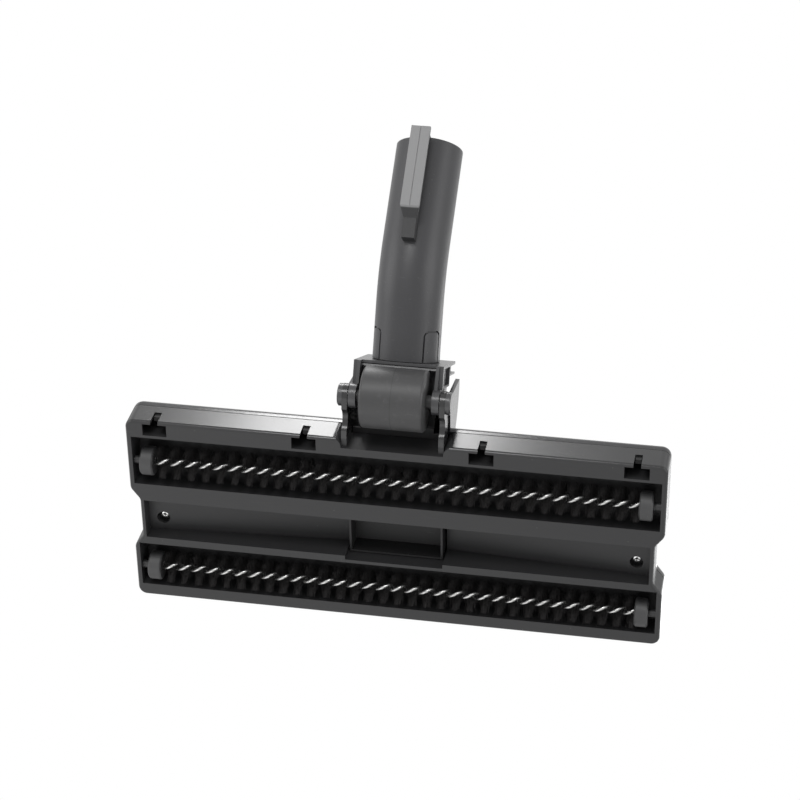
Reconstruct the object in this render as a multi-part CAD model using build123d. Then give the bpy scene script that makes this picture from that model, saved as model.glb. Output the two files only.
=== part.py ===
from build123d import *
import math
import os

# Hard-floor vacuum nozzle with two spinning brush rolls and a jointed neck, in millimetres.
# X runs across the nozzle, +Y to the neck at the back, +Z up. The origin is on the floor,
# under the middle of the suction channel.

# Sole, from the front edge to the back edge
nozzle_width = 300.0        # across both ends
front_rail = 8.0            # sole in front of the front brush
front_channel = 28.3        # opening for the front brush
front_rib = 4.6             # sole between the front brush and the suction channel
suction_channel = 24.8      # opening between the two ribs
rear_rib = 11.1             # sole between the suction channel and the rear brush
rear_channel = 30.9         # opening for the rear brush
rear_rail = 10.6            # sole behind the rear brush
end_wall = 3.0              # walls that close the brush channels at both ends
wall = 1.6                  # thickness of the moulded walls inside
sole_wall = 1.8             # thickness of the sole and of the back wall
edge_round = 2.0            # rounding along the rim of the sole
corner_round = 5.0          # rounding of the outline seen from above
waist_inset = 5.2           # how far the ends draw in beside the suction channel
waist_slope = 7.0           # length of the slope from the full width to the waist
waist_rail = 2.4            # sole that closes the suction channel at its ends

# Brush rolls
bristle_radius = 9.8
bristle_tip = 2.7           # half the width of a row of bristles at its tips
bristle_root = 0.9          # half the width of a row of bristles at the wire
wire_half_width = 2.3
wire_half_thickness = 0.9
twist_pitch = 16.5          # length of one turn of the twisted wire
twist_steps = 6             # facets in one turn
axis_above_sole = 5.0       # brush axis above the plane of the sole
front_brush_gap = 10.3      # front wall of a channel to the axis of its front brush
rear_brush_gap = 12.9       # front wall of the rear channel to the axis of its brush
brush_head_room = 0.6       # free height over the bristles
trough_round = 6.0          # rounding of the ceilings over the brushes
wheel_radius = 8.2
wheel_width = 7.5
wheel_chamfer = 0.8
wheel_end_gap = 4.3         # wheel to the end wall
wheel_bore_gap = 0.08       # wire to the bore of the wheel
stub_radius = 2.2
stub_reach = 1.6            # depth of the stub axle's seat in the end wall
stub_gap = 0.08             # running clearance round the stub axle
stub_end_gap = 0.3          # play at the end of the stub axle

# Suction channel and mouth
mouth_width = 55.2
channel_end_rise = 8.9      # height of the sloping ceiling at the ends of the channel
channel_mouth_rise = 16.2   # and beside the mouth
mouth_relief = 2.6          # how much the front rib is thinned in front of the mouth
screw_inset = 15.5          # screw to the end of the nozzle
screw_offset = -4.6         # screw in front of the middle of the channel
screw_recess_radius = 3.75
screw_recess_rise = 4.8
screw_head_radius = 1.9
screw_head_height = 1.8
screw_shank_radius = 1.45
screw_length = 8.0
screw_gap = 0.15            # clearance round the shank in the base
screw_boss_wall = 1.9
cross_width = 0.6           # arms of the cross recess in the screw head
cross_reach = 1.3           # length of each arm from the middle

# Windows along the back edge, with the hooks of the cover behind them
window_length = 13.7
window_spots = (49.0, 133.2)
window_slot = 4.2
window_slot_rise = 10.5
hook_width = 3.4
hook_thickness = 1.5
hook_barb = 0.8
hook_gap = 0.3

# Duct from the mouth to the neck
duct_gap = 1.1              # mouth to the side walls of the duct
duct_play = 0.4             # duct to the hump and to the ends of the mouth
duct_wall = 1.2
duct_drop = 8.0             # lower edge of the duct above the sole
duct_tongue = 3.4           # floor of the duct past the notch, between the ears
lip_reach = 6.8             # and between the walls of the yoke, up to the lip
lip_gap = 0.6               # lip of the duct to the shell over the roller
lip_end_angle = 116.0       # upper end of the lip, seen from the pivot
lip_start_angle = 164.0

# Cover
cover_rise = 8.2            # height of the cover above the parting line
cover_wall = 2.0
cover_round = 6.0
hump_half_width = 29.2
hump_wall = 2.3
hump_front = -40.0
drum_radius = 39.0          # outside of the arched part of the hump over the neck
drum_front_angle = 150.0    # where the hump's ramp meets the arch, seen from the pivot
roof_angle = 131.0          # back edge of the roof
cheek_angle = 101.0         # back edge of the side cheeks
hood_gap = 0.5              # play between the arch and the hood of the yoke

# Neck: axle, ears, roller and yoke
pivot_behind = 21.0         # axle behind the back edge of the sole
roller_radius = 17.0
roller_half_width = 17.4
roller_round = 1.6
roller_collar_radius = 3.6
axle_radius = 2.0
axle_gap = 0.08             # running clearance on the axle
press_gap = 0.02            # axle in the ears and caps
ear_radius = 6.4
ear_width = 3.0
ear_hollow_lift = 1.5       # how far the hollow under the ear reaches into the eye
ear_gap = 0.5               # yoke to ear
notch_round = 5.0           # rounding of the back wall into the notch
notch_depth = 5.8           # how far the sole is cut back in front of the roller
cap_radius = 6.2
cap_width = 2.8
cap_chamfer = 0.6
yoke_half_width = 24.8
arm_width = 4.0
side_wall = 1.8
boss_radius = 6.8
boss_play = 0.3             # roller collar to yoke boss
shell_gap = 1.2             # roller to the shell of the yoke above it
shell_wall = 1.5
hood_end_angle = 138.0      # front end of the hood, seen from the pivot
shell_end_angle = 128.0     # front end of the shell over the roller
riser_angle = 70.0          # where the hood leaves its arc to rise to the top plate, from the tube's slope
plate_gap = 0.6             # roller to the top plate of the yoke
plate_wall = 1.6
plate_margin = 0.6          # top plate past the tube, at its upper and lower edge
gusset_drop = 5.4           # side walls of the yoke below the upper edge of the top plate
rib_wall = 1.2
rib_height = 29.0           # upright ribs on the sides of the yoke, above the axle
rest_tilt = 26.3            # slope of the lower tube in the rest pose, in degrees

# Elbow tube and parking hook
tube_rise = 27.7            # axis of the tube above the axle, square to the tube
tube_radius = 18.6
tube_wall = 1.7
tube_straight = 30.5        # straight part at the foot
bend_radius = 95.0
bend_angle = 20.5
tube_upper = 55.6           # straight part with the socket
socket_radius = 17.5
socket_depth = 46.0
collar_height = 15.0        # collar of the yoke inside the tube
collar_wall = 1.7
swivel_gap = 0.4            # play of the tube on the collar and above the plate
tongue_length = 16.5        # snap tongues at the foot of the tube, each within a groove
tongue_width = 11.0
tongue_round = 2.5
groove_width = 1.0
groove_depth = 0.9
tongue_turns = (-60, 60, 180)
rest_swivel = -2.5          # turn of the tube about its lower axis in the rest pose
rail_length = 46.0          # flange of the parking hook
rail_past_rim = 1.7
rail_half_width = 5.3
rail_wall = 2.4
rail_stand_off = 12.4       # outside of the flange to the tube
rail_taper = 5.4            # sloping end of the flange
rail_seam = 0.4             # width and depth of the seam down the flange
web_half_width = 3.6
web_past_flange = 16.5
web_set_back = 5.0          # web behind the face of the flange, at the end of the slope
web_drop = 1.5              # how much further the web leans to the tube

# Levels and places that follow
cut = 1.0                   # cutters reach this far past the faces they open
axis_height = bristle_radius
sole_level = axis_height - axis_above_sole
ceiling_level = axis_height + bristle_radius + brush_head_room
parting_level = ceiling_level + wall
cover_level = parting_level + cover_rise
suction_front = -suction_channel / 2
suction_rear = suction_channel / 2
rear_channel_front = suction_rear + rear_rib
rear_channel_rear = rear_channel_front + rear_channel
rear_edge = rear_channel_rear + rear_rail
front_channel_rear = suction_front - front_rib
front_channel_front = front_channel_rear - front_channel
front_edge = front_channel_front - front_rail
rear_brush_y = rear_channel_front + rear_brush_gap
front_brush_y = front_channel_front + front_brush_gap
half_width = nozzle_width / 2
channel_end = half_width - end_wall
waist = half_width - waist_inset
suction_end = waist - waist_rail
mouth_half = mouth_width / 2
mouth_front = suction_front - mouth_relief
channel_end_level = sole_level + channel_end_rise
channel_mouth_level = sole_level + channel_mouth_rise
pivot_y = rear_edge + pivot_behind
pivot_level = roller_radius
ear_inner = yoke_half_width + ear_gap
ear_outer = ear_inner + ear_width
notch_y = rear_edge - notch_depth
pocket_front = rear_channel_rear + wall
pocket_rear = rear_edge - sole_wall
wheel_outer = channel_end - wheel_end_gap
wheel_inner = wheel_outer - wheel_width
screw_x = half_width - screw_inset
hood_radius = drum_radius - hump_wall - hood_gap
plate_start = roller_radius + plate_gap
plate_end = plate_start + plate_wall
collar_radius = tube_radius - tube_wall - swivel_gap
tube_start = plate_end + swivel_gap


def block(x, y, z):
    """Box between two limits along each axis."""
    size = [b - a for a, b in (x, y, z)]
    middle = [(a + b) / 2 for a, b in (x, y, z)]
    return Pos(*middle) * Box(*size)


def both_sides(shape):
    """The shape and its mirror image at the other end of the nozzle."""
    return shape + mirror(shape, Plane.YZ)


def slab_x(profile, half):
    """A profile of the YZ plane, extruded to the same distance on both sides."""
    return extrude(Plane.YZ * profile, half, both=True)


def side_walls(profile, x):
    """A profile of the YZ plane as two equal walls, one on each side of the middle."""
    return both_sides(Pos(x[0], 0, 0) * extrude(Plane.YZ * profile, x[1] - x[0]))


def rod_x(radius, x):
    """Rod along X between two limits, about the X axis."""
    return Pos((x[0] + x[1]) / 2, 0, 0) * Rot(0, 90, 0) * Cylinder(radius, x[1] - x[0])


def at_pivot(shape):
    return Pos(0, pivot_y, pivot_level) * shape


def spoke(radius, angle):
    """Point of the YZ plane at a distance and an angle in degrees from its origin."""
    turn = math.radians(angle)
    return (radius * math.cos(turn), radius * math.sin(turn))


def wedge(radius, start, end):
    """Pie slice of the YZ plane about its origin, between two angles in degrees."""
    points = [(0, 0)]
    steps = 8
    reach = radius / math.cos(math.radians((end - start) / steps / 2))
    for i in range(steps + 1):
        points.append(spoke(reach, start + (end - start) * i / steps))
    return make_face(Polyline(*points, close=True))


def arch(outer, inner, start, end):
    """Section of a tube wall about the origin of the YZ plane, between two angles."""
    return (Circle(outer) - Circle(inner)) & wedge(outer + cut, start, end)


def outline():
    """Outline of the nozzle seen from above, drawn in at both ends beside the suction channel."""
    side = [
        (half_width, front_edge),
        (half_width, suction_front - waist_slope),
        (waist, suction_front),
        (waist, suction_rear),
        (half_width, suction_rear + waist_slope),
        (half_width, rear_edge),
    ]
    other = [(-x, y) for x, y in reversed(side)]
    face = make_face(Polyline(*side, *other, close=True))
    return fillet(face.vertices(), corner_round)


def trough(y):
    """Space over a brush opening, with a rounded ceiling."""
    space = block((-channel_end, channel_end), y, (sole_level - cut, ceiling_level))
    top = space.edges().filter_by(Axis.X).group_by(Axis.Z)[-1]
    return fillet(top, trough_round)


def channel_profile(lift, top):
    """Half of the space under, or over, the sloping ceiling of the suction channel."""
    low = channel_end_level + lift
    high = channel_mouth_level + lift
    return make_face(
        Polyline((mouth_half, top), (mouth_half, high), (suction_end, low), (suction_end, top), close=True)
    )


def across(profile, y):
    """A profile of the XZ plane, extruded between two limits along Y."""
    return Pos(0, y[1], 0) * extrude(Plane.XZ * profile, y[1] - y[0])


def ear():
    """Side plate that carries the axle, hollowed along its lower edge."""
    root = notch_y - wall
    foot = Pos((root + rear_edge) / 2, (sole_level + parting_level) / 2) * Rectangle(
        rear_edge - root, parting_level - sole_level - 2 * edge_round
    )
    eye = Pos(pivot_y, pivot_level) * Circle(ear_radius)
    shape = make_hull((foot + eye).edges())
    hollow_radius = pivot_level - sole_level - ear_radius + ear_hollow_lift
    hollow = Pos((rear_edge + pivot_y) / 2, sole_level) * Circle(hollow_radius)
    plate = side_walls(shape - hollow, (ear_inner, ear_outer))
    return plate - at_pivot(rod_x(axle_radius, (-half_width, half_width)))


def post(radius, x, y, z):
    """Upright cylinder between two levels."""
    return Pos(x, y, (z[0] + z[1]) / 2) * Cylinder(radius, z[1] - z[0])


def screw_seat_level():
    """Height of the face that the screw heads pull against."""
    share = (suction_end - screw_x) / (suction_end - mouth_half)
    ceiling = channel_end_level + share * (channel_mouth_level - channel_end_level)
    return ceiling + screw_recess_rise


def notch():
    """Space for the roller in the back edge, with the back wall rounded into it at both sides."""
    space = block((-ear_outer, ear_outer), (notch_y, rear_edge + cut), (0, cover_level))
    corner = (ear_outer + notch_round, rear_edge - notch_round)
    round_off = block((ear_outer - cut, corner[0]), (corner[1], rear_edge + cut), (0, cover_level))
    round_off -= post(notch_round, *corner, (-cut, cover_level + cut))
    return space + both_sides(round_off)


def base_plate():
    """Moulded base: sole, brush troughs, suction channel, pockets, windows and axle ears."""
    body = Pos(0, 0, sole_level) * extrude(outline(), parting_level - sole_level)
    body = fillet(body.edges().group_by(Axis.Z)[0], edge_round)
    body -= notch()
    body += ear()

    body -= trough((rear_channel_front, rear_channel_rear))
    body -= trough((front_channel_front, front_channel_rear))
    body -= both_sides(across(channel_profile(0, sole_level - cut), (suction_front, suction_rear)))
    body -= block((-mouth_half, mouth_half), (mouth_front, suction_rear), (0, cover_level))

    over_channel = (suction_front + wall, suction_rear - wall)
    over_profile = channel_profile(wall, cover_level)
    body -= both_sides(across(over_profile, over_channel))
    floor = sole_level + sole_wall
    rib_pocket = (suction_rear + wall, rear_channel_front - wall)
    body -= block((-suction_end, suction_end), rib_pocket, (floor, cover_level))
    rail_pocket = (pocket_front, pocket_rear)
    body -= both_sides(block((ear_outer + notch_round, channel_end), rail_pocket, (floor, cover_level)))
    front_pocket = (front_edge + sole_wall, front_channel_front - wall)
    body -= block((-channel_end, channel_end), front_pocket, (floor, cover_level))

    for spot in window_spots:
        opening = (spot - window_length / 2, spot + window_length / 2)
        slot = (spot - window_slot / 2, spot + window_slot / 2)
        body -= both_sides(block(opening, rail_pocket, (0, floor + cut)))
        slot_top = sole_level + window_slot_rise
        body -= both_sides(block(slot, (pocket_front, rear_edge + cut), (0, slot_top)))

    for y in (rear_brush_y, front_brush_y):
        seat = rod_x(stub_radius + stub_gap, (channel_end - cut, channel_end + stub_reach))
        body -= both_sides(Pos(0, y, axis_height) * seat)

    seat_level = screw_seat_level()
    boss_levels = (channel_end_level, seat_level + wall)
    boss = post(screw_recess_radius + screw_boss_wall, screw_x, screw_offset, boss_levels)
    body += both_sides(boss & across(channel_profile(0, cover_level), over_channel))
    body -= both_sides(post(screw_recess_radius, screw_x, screw_offset, (0, seat_level)))
    shank_radius = screw_shank_radius + screw_gap
    return body - both_sides(post(shank_radius, screw_x, screw_offset, (0, cover_level)))


def cover_screws():
    """Two screws that hold the cover, with a cross recess in the head."""
    seat_level = screw_seat_level()
    head_level = seat_level - screw_head_height
    screw = post(screw_head_radius, screw_x, screw_offset, (head_level, seat_level))
    screw += post(screw_shank_radius, screw_x, screw_offset, (seat_level, seat_level + screw_length))
    depth = screw_head_height / 2
    for arm_x, arm_y in ((cross_reach, cross_width / 2), (cross_width / 2, cross_reach)):
        x = (screw_x - arm_x, screw_x + arm_x)
        y = (screw_offset - arm_y, screw_offset + arm_y)
        screw -= block(x, y, (head_level - cut, head_level + depth))
    return Compound([screw.solid(), mirror(screw, Plane.YZ).solid()])


def ramp(inset):
    """Side view of the hump that carries the air from the mouth up to the neck."""
    y, z = spoke(drum_radius - inset, drum_front_angle)
    top = (pivot_y + y, pivot_level + z)
    start = (hump_front + 2 * inset, cover_level - cover_wall / 2 - inset)
    low = parting_level - inset
    return make_face(Polyline((start[0], low), start, top, (pivot_y, top[1]), (pivot_y, low), close=True))


def drum(radius):
    """Round part of the hump about the axle."""
    return Pos(pivot_y, pivot_level) * Circle(radius)


def top_cover():
    """Glossy upper shell with the hump over the neck, snap hooks and screw posts."""
    shell = Pos(0, 0, parting_level) * extrude(outline(), cover_rise)
    shell = fillet(shell.edges().group_by(Axis.Z)[-1], cover_round)
    front_of_cheeks = Pos(pivot_y, pivot_level) * wedge(nozzle_width, cheek_angle, 180)
    shell += slab_x((ramp(0) + drum(drum_radius)) & front_of_cheeks, hump_half_width)
    cavity_height = cover_rise - cover_wall + cut
    shell -= Pos(0, 0, parting_level - cut) * extrude(offset(outline(), -cover_wall), cavity_height)

    hump_inner = hump_half_width - hump_wall
    hollow = ramp(hump_wall) + drum(drum_radius - hump_wall)
    shell -= slab_x(hollow, hump_inner)
    open_back = Pos(pivot_y, pivot_level) * wedge(2 * drum_radius, 0, roof_angle)
    shell -= slab_x(open_back, hump_inner)
    whole_width = (-half_width, half_width)
    shell -= block(whole_width, (front_edge, pivot_y), (0, parting_level))
    ear_top = pivot_level + ear_radius + hook_gap
    shell -= block(whole_width, (rear_edge, pivot_y), (0, ear_top))

    ceiling = cover_level - cover_wall
    hook_rear = pocket_rear - hook_gap
    hook_front = hook_rear - hook_thickness
    barb_top = sole_level + window_slot_rise - hook_gap
    barb_low = barb_top - 2 * hook_thickness
    for spot in window_spots:
        x = (spot - hook_width / 2, spot + hook_width / 2)
        hook = block(x, (hook_front, hook_rear), (barb_low, ceiling))
        hook += block(x, (hook_front, rear_edge - cover_wall), (parting_level, ceiling))
        hook += block(x, (hook_front, pocket_rear + hook_barb), (barb_low, barb_top))
        shell += both_sides(hook)

    post_foot = screw_seat_level() + wall
    pilot = screw_shank_radius + press_gap
    shell += both_sides(post(pilot + cover_wall, screw_x, screw_offset, (post_foot, ceiling)))
    pilot_top = screw_seat_level() + screw_length + press_gap
    return shell - both_sides(post(pilot, screw_x, screw_offset, (0, pilot_top)))


def duct_side(inset):
    """Side view of the duct: up from the mouth, then back over the rear brush."""
    front = mouth_front + duct_play + inset
    rear = suction_rear - duct_play - inset
    low = sole_level + duct_drop - (cut if inset else 0)
    floor = parting_level + inset
    start = cover_level - cover_wall / 2 - hump_wall - duct_play - inset
    y, z = spoke(drum_radius - hump_wall - duct_play - inset, drum_front_angle)
    top = (pivot_y + y, pivot_level + z)
    end = pivot_y + inset
    return make_face(
        Polyline((front, low), (front, start), top, (end, top[1]), (end, floor), (rear, floor), (rear, low),
                 close=True)
    )


def suction_duct():
    """Thin-walled duct from the suction mouth to the neck, with a tongue under the yoke."""
    half = mouth_half - duct_gap
    duct = slab_x(duct_side(0), half) - slab_x(duct_side(duct_wall), half - duct_wall)
    duct -= at_pivot(rod_x(hood_radius + hood_gap, (-half_width, half_width)))
    tongue_x = ear_inner - ear_gap
    lip_x = yoke_half_width - arm_width - ear_gap
    for x, reach in ((tongue_x, duct_tongue), (lip_x, lip_reach)):
        floor = (parting_level, parting_level + duct_wall)
        duct += block((-x, x), (rear_channel_front, notch_y + reach), floor)
    lip_radius = roller_radius + shell_gap + shell_wall + lip_gap
    lip = arch(lip_radius + duct_wall, lip_radius, lip_end_angle, lip_start_angle)
    return duct + at_pivot(slab_x(lip, lip_x))


def pivot_axle():
    """Steel pin through the ears, the yoke and the roller."""
    reach = ear_outer + cap_width / 2
    return at_pivot(rod_x(axle_radius, (-reach, reach)))


def axle_cap():
    """Round cap pressed on the end of the axle, against the ear on the +X side."""
    cap = rod_x(cap_radius, (ear_outer, ear_outer + cap_width))
    cap = chamfer(cap.edges().group_by(Axis.X)[-1], cap_chamfer)
    seat = rod_x(axle_radius + press_gap, (0, ear_outer + cap_width / 2))
    return at_pivot(cap - seat)


def roller():
    """Rear roller on the axle, with rounded rims and a short collar at each side."""
    collar = yoke_half_width - arm_width - boss_play
    body = rod_x(roller_radius, (-roller_half_width, roller_half_width))
    body = fillet(body.edges().filter_by(GeomType.CIRCLE), roller_round)
    body += rod_x(roller_collar_radius, (-collar, collar))
    return at_pivot(body - rod_x(axle_radius + axle_gap, (-half_width, half_width)))


def twisted(section, half_length, turn_at_middle):
    """Section carried along X and turned left-handed, as flat facets."""
    steps = max(1, round(2 * half_length / twist_pitch * twist_steps))
    rings = []
    for i in range(steps + 1):
        x = half_length * (2 * i / steps - 1)
        turn = math.radians(turn_at_middle) - 2 * math.pi * x / twist_pitch
        c, s = math.cos(turn), math.sin(turn)
        rings.append([Vector(x, u * c - w * s, u * s + w * c) for u, w in section])
    faces = [Face(Wire.make_polygon(ring)) for ring in (rings[0], rings[-1])]
    count = len(section)
    for near, far in zip(rings, rings[1:]):
        for k in range(count):
            m = (k + 1) % count
            faces.append(Face(Wire.make_polygon([near[k], near[m], far[m]])))
            faces.append(Face(Wire.make_polygon([near[k], far[m], far[k]])))
    return Solid(Shell(faces))


def brush_bristles():
    """Two rows of bristles, clamped in the twisted wire and turning with it."""
    r, tip, root = bristle_radius, bristle_tip, bristle_root
    edge = math.sqrt(r * r - tip * tip)
    section = [(edge, -tip), (edge, tip), (0, root), (-edge, tip), (-edge, -tip), (0, -root)]
    return twisted(section, wheel_inner - stub_gap, 0)


def brush_wire():
    """Twisted steel wire through the brush and into both wheels."""
    u, w = wire_half_thickness, wire_half_width
    return twisted([(u, -w), (u, w), (-u, w), (-u, -w)], wheel_inner + wheel_width / 2, 0)


def brush_wheel():
    """End wheel at the +X end of a brush, with its stub axle and the seat for the wire."""
    wheel = rod_x(wheel_radius, (wheel_inner, wheel_outer))
    wheel = chamfer(wheel.edges().filter_by(GeomType.CIRCLE), wheel_chamfer)
    wheel += rod_x(stub_radius, (wheel_inner + wheel_width / 2, channel_end + stub_reach - stub_end_gap))
    bore = math.hypot(wire_half_width, wire_half_thickness) + wheel_bore_gap
    return wheel - rod_x(bore, (wheel_inner - cut, wheel_inner + wheel_width / 2 + wheel_bore_gap))


def yoke_side(plate_low, plate_high):
    """Side view of the yoke: from the axle round the shell and the hood up to the top plate."""
    hood_end = hood_end_angle - rest_tilt
    shell_end = shell_end_angle - rest_tilt
    shell_outer = roller_radius + shell_gap + shell_wall
    far = 2 * drum_radius
    side = make_face(
        Polyline((0, 0), (plate_end, boss_radius / 2), (plate_end, far), spoke(far, hood_end),
                 spoke(hood_radius, hood_end), spoke(shell_outer, shell_end), close=True)
    )
    rise = make_face(
        Polyline((0, 0), (plate_start, plate_low), (plate_start, plate_high), (plate_start - gusset_drop, plate_high),
                 spoke(hood_radius, riser_angle), close=True)
    )
    return (side & Circle(hood_radius)) + rise + Circle(boss_radius)


def yoke_hood(plate_low, plate_high):
    """Walls that lead the air over the roller: hood, riser to the plate, and shell, in side view."""
    hood_inner = hood_radius - shell_wall
    hood = arch(hood_radius, hood_inner, riser_angle, hood_end_angle - rest_tilt)
    riser = make_face(
        Polyline(spoke(hood_radius, riser_angle), (plate_start, plate_high),
                 (plate_start, plate_high - 2 * shell_wall), spoke(hood_inner, riser_angle), close=True)
    )
    shell_inner = roller_radius + shell_gap
    low_turn = math.degrees(math.asin(plate_low / shell_inner))
    shell = arch(shell_inner + shell_wall, shell_inner, low_turn, shell_end_angle - rest_tilt)
    return hood, riser, shell


def yoke():
    """Fork of the neck: side walls, hood and shell over the roller, top plate with its collar."""
    wall_inner = yoke_half_width - arm_width
    wall_outer = wall_inner + side_wall
    plate_low = tube_rise - tube_radius - plate_margin
    plate_high = tube_rise + tube_radius + plate_margin
    body = side_walls(yoke_side(plate_low, plate_high), (wall_inner, wall_outer))
    for profile in yoke_hood(plate_low, plate_high):
        body += slab_x(profile, wall_outer)

    side = (wall_inner, yoke_half_width)
    arm = block(side, (0, plate_end), (plate_low - arm_width, plate_low))
    boss = rod_x(boss_radius, side)
    rib_low = boss_radius + arm_width
    ribs = block(side, (0, plate_end), (rib_low, rib_low + rib_wall))
    ribs += block(side, (boss_radius, boss_radius + rib_wall), (plate_low - arm_width / 2, rib_height))
    gusset = plate_start - gusset_drop
    ribs += block(side, (gusset, gusset + rib_wall), (rib_height, plate_high))
    ribs += block(side, (boss_radius, plate_end), (rib_height - rib_wall, rib_height))
    body += both_sides(arm + boss + ribs)
    body -= rod_x(axle_radius + axle_gap, (-half_width, half_width))

    collar_top = plate_end + collar_height
    neck = block((-yoke_half_width, yoke_half_width), (plate_start, plate_end), (plate_low, plate_high))
    neck += along_tube(collar_radius, (plate_start, collar_top))
    neck -= along_tube(collar_radius - collar_wall, (plate_start - cut, collar_top + cut))
    return at_pivot(Rot(rest_tilt, 0, 0) * (body + neck))


def along_tube(radius, y):
    """Cylinder on the axis of the lower tube, in the frame of the yoke."""
    return Pos(0, (y[0] + y[1]) / 2, tube_rise) * Rot(90, 0, 0) * Cylinder(radius, y[1] - y[0])


def tube_path():
    """Axis of the elbow: straight foot, bend, straight socket, in the frame of the tube."""
    foot = Line((0, 0), (tube_straight, 0))
    bend = JernArc(foot @ 1, (1, 0), bend_radius, bend_angle)
    upper = Line(bend @ 1, bend @ 1 + (bend % 1) * tube_upper)
    return Plane.YZ * Wire([foot, bend, upper])


def at_tube(shape):
    """Place a shape of the tube's frame on the yoke, in the rest pose."""
    seat = Pos(0, tube_start, tube_rise) * Rot(0, rest_swivel, 0)
    return at_pivot(Rot(rest_tilt, 0, 0) * seat * shape)


def tongue_pad(margin):
    """Outline of a snap tongue under the foot of the tube, with its upper corners rounded."""
    x = tongue_width / 2 + margin
    pad = block((-x, x), (-cut, tongue_length + margin), (-2 * tube_radius, 0))
    return fillet(pad.edges().filter_by(Axis.Z).group_by(Axis.Y)[-1], tongue_round + margin)


def tongue_groove():
    """Groove round a snap tongue, cut into the skin of the tube."""
    length = 2 * (tongue_length + groove_width + cut)
    skin = Cylinder(tube_radius + cut, length) - Cylinder(tube_radius - groove_depth, length)
    return (tongue_pad(groove_width) - tongue_pad(0)) & (Rot(90, 0, 0) * skin)


def elbow_tube():
    """Bent tube with the socket for the wand and three snap tongues at its foot."""
    path = tube_path()
    foot = Plane(path @ 0, z_dir=path % 0)
    rim = Plane(path @ 1, z_dir=path % 1)
    tube = sweep(foot * Circle(tube_radius), path=path)
    tube -= sweep(foot * Circle(tube_radius - tube_wall), path=path)
    for turn in tongue_turns:
        tube -= Rot(0, turn, 0) * tongue_groove()
    socket = Pos(0, 0, -socket_depth / 2) * Cylinder(socket_radius, socket_depth)
    return at_tube(tube - rim * socket)


def parking_hook():
    """Flanged rail under the socket, for parking the wand on the cleaner."""
    outside = -(tube_radius + rail_stand_off)
    end = rail_past_rim - rail_length
    taper_end = end - rail_taper
    flange = make_face(
        Polyline((-rail_half_width, rail_past_rim), (-rail_half_width, end), (-web_half_width, taper_end),
                 (web_half_width, taper_end), (rail_half_width, end), (rail_half_width, rail_past_rim), close=True)
    )
    nose = outside + web_set_back
    hook = Pos(0, 0, outside) * extrude(flange, web_set_back + rail_wall)
    web_end = end - web_past_flange
    back = outside + rail_wall
    web = make_face(
        Polyline((rail_past_rim, outside), (end, outside), (taper_end, nose), (web_end, nose + web_drop),
                 (web_end, 0), (-rail_past_rim, 0), close=True)
    )
    lip = make_face(
        Polyline((rail_past_rim, outside), (end, outside), (taper_end, nose), (taper_end, nose + rail_wall),
                 (end, back), (rail_past_rim, back), close=True)
    )
    hook = (hook & slab_x(lip, rail_half_width)) + slab_x(web, web_half_width)
    seam = rail_seam / 2
    hook -= block((-seam, seam), (end, rail_past_rim + cut), (outside - cut, outside + rail_seam))
    reach = Pos(0, -rail_length, 0) * Rot(90, 0, 0)
    hook -= reach * Cylinder(tube_radius + press_gap, 4 * rail_length)
    path = tube_path()
    return at_tube(Pos(*(path @ 1)) * Rot(bend_angle, 0, 0) * hook)


def brush_parts(name, y):
    """The four nodes of one brush roll, on its axis."""
    place = Pos(0, y, axis_height)
    wheel = brush_wheel()
    return {
        name + "_wire": place * brush_wire(),
        name + "_bristles": place * brush_bristles(),
        name + "_wheel_left": place * wheel,
        name + "_wheel_right": place * mirror(wheel, Plane.YZ),
    }


def main():
    cap = axle_cap()
    nodes = {
        "base_plate": base_plate(),
        "top_cover": top_cover(),
        "suction_duct": suction_duct(),
        "cover_screws": cover_screws(),
        "pivot_axle": pivot_axle(),
        "axle_cap_left": cap,
        "axle_cap_right": mirror(cap, Plane.YZ),
        "roller": roller(),
        "neck_yoke": yoke(),
        "elbow_tube": elbow_tube(),
        "parking_hook": parking_hook(),
    }
    nodes.update(brush_parts("rear_brush", rear_brush_y))
    nodes.update(brush_parts("front_brush", front_brush_y))
    os.makedirs("parts", exist_ok=True)
    for name, shape in nodes.items():
        export_step(shape, "parts/" + name + ".step")


main()
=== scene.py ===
import math

import bpy
import numpy as np
from bpy.props import FloatProperty, FloatVectorProperty, IntProperty, PointerProperty
from bpy.types import Operator, Panel, PropertyGroup
from mathutils import Matrix, Vector


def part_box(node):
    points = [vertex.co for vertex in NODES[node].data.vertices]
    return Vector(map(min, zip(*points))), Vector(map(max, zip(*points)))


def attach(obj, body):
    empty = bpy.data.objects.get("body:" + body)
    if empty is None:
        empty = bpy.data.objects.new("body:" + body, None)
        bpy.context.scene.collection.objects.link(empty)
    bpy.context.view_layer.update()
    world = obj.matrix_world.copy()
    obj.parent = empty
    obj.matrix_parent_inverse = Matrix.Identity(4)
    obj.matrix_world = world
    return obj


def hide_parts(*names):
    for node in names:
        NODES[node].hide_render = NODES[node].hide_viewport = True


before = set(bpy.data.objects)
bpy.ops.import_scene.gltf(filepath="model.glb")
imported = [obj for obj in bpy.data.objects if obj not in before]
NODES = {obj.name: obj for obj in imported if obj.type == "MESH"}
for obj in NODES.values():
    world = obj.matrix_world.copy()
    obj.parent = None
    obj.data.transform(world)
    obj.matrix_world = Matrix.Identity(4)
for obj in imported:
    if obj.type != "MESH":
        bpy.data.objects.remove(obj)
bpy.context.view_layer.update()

bl_info = {
    "name": "Hard-floor nozzle",
    "version": (1, 0, 0),
    "blender": (4, 5, 0),
    "location": "View3D > Sidebar > Nozzle",
    "description": "Dresses the packed floor nozzle: mouldings, brush rolls, neck, and a plain stage",
    "category": "Object",
}

BRUSHES = ("rear_brush", "front_brush")
WHITE = (1.0, 1.0, 1.0, 1.0)
BLACK = (0.0, 0.0, 0.0, 1.0)

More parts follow.
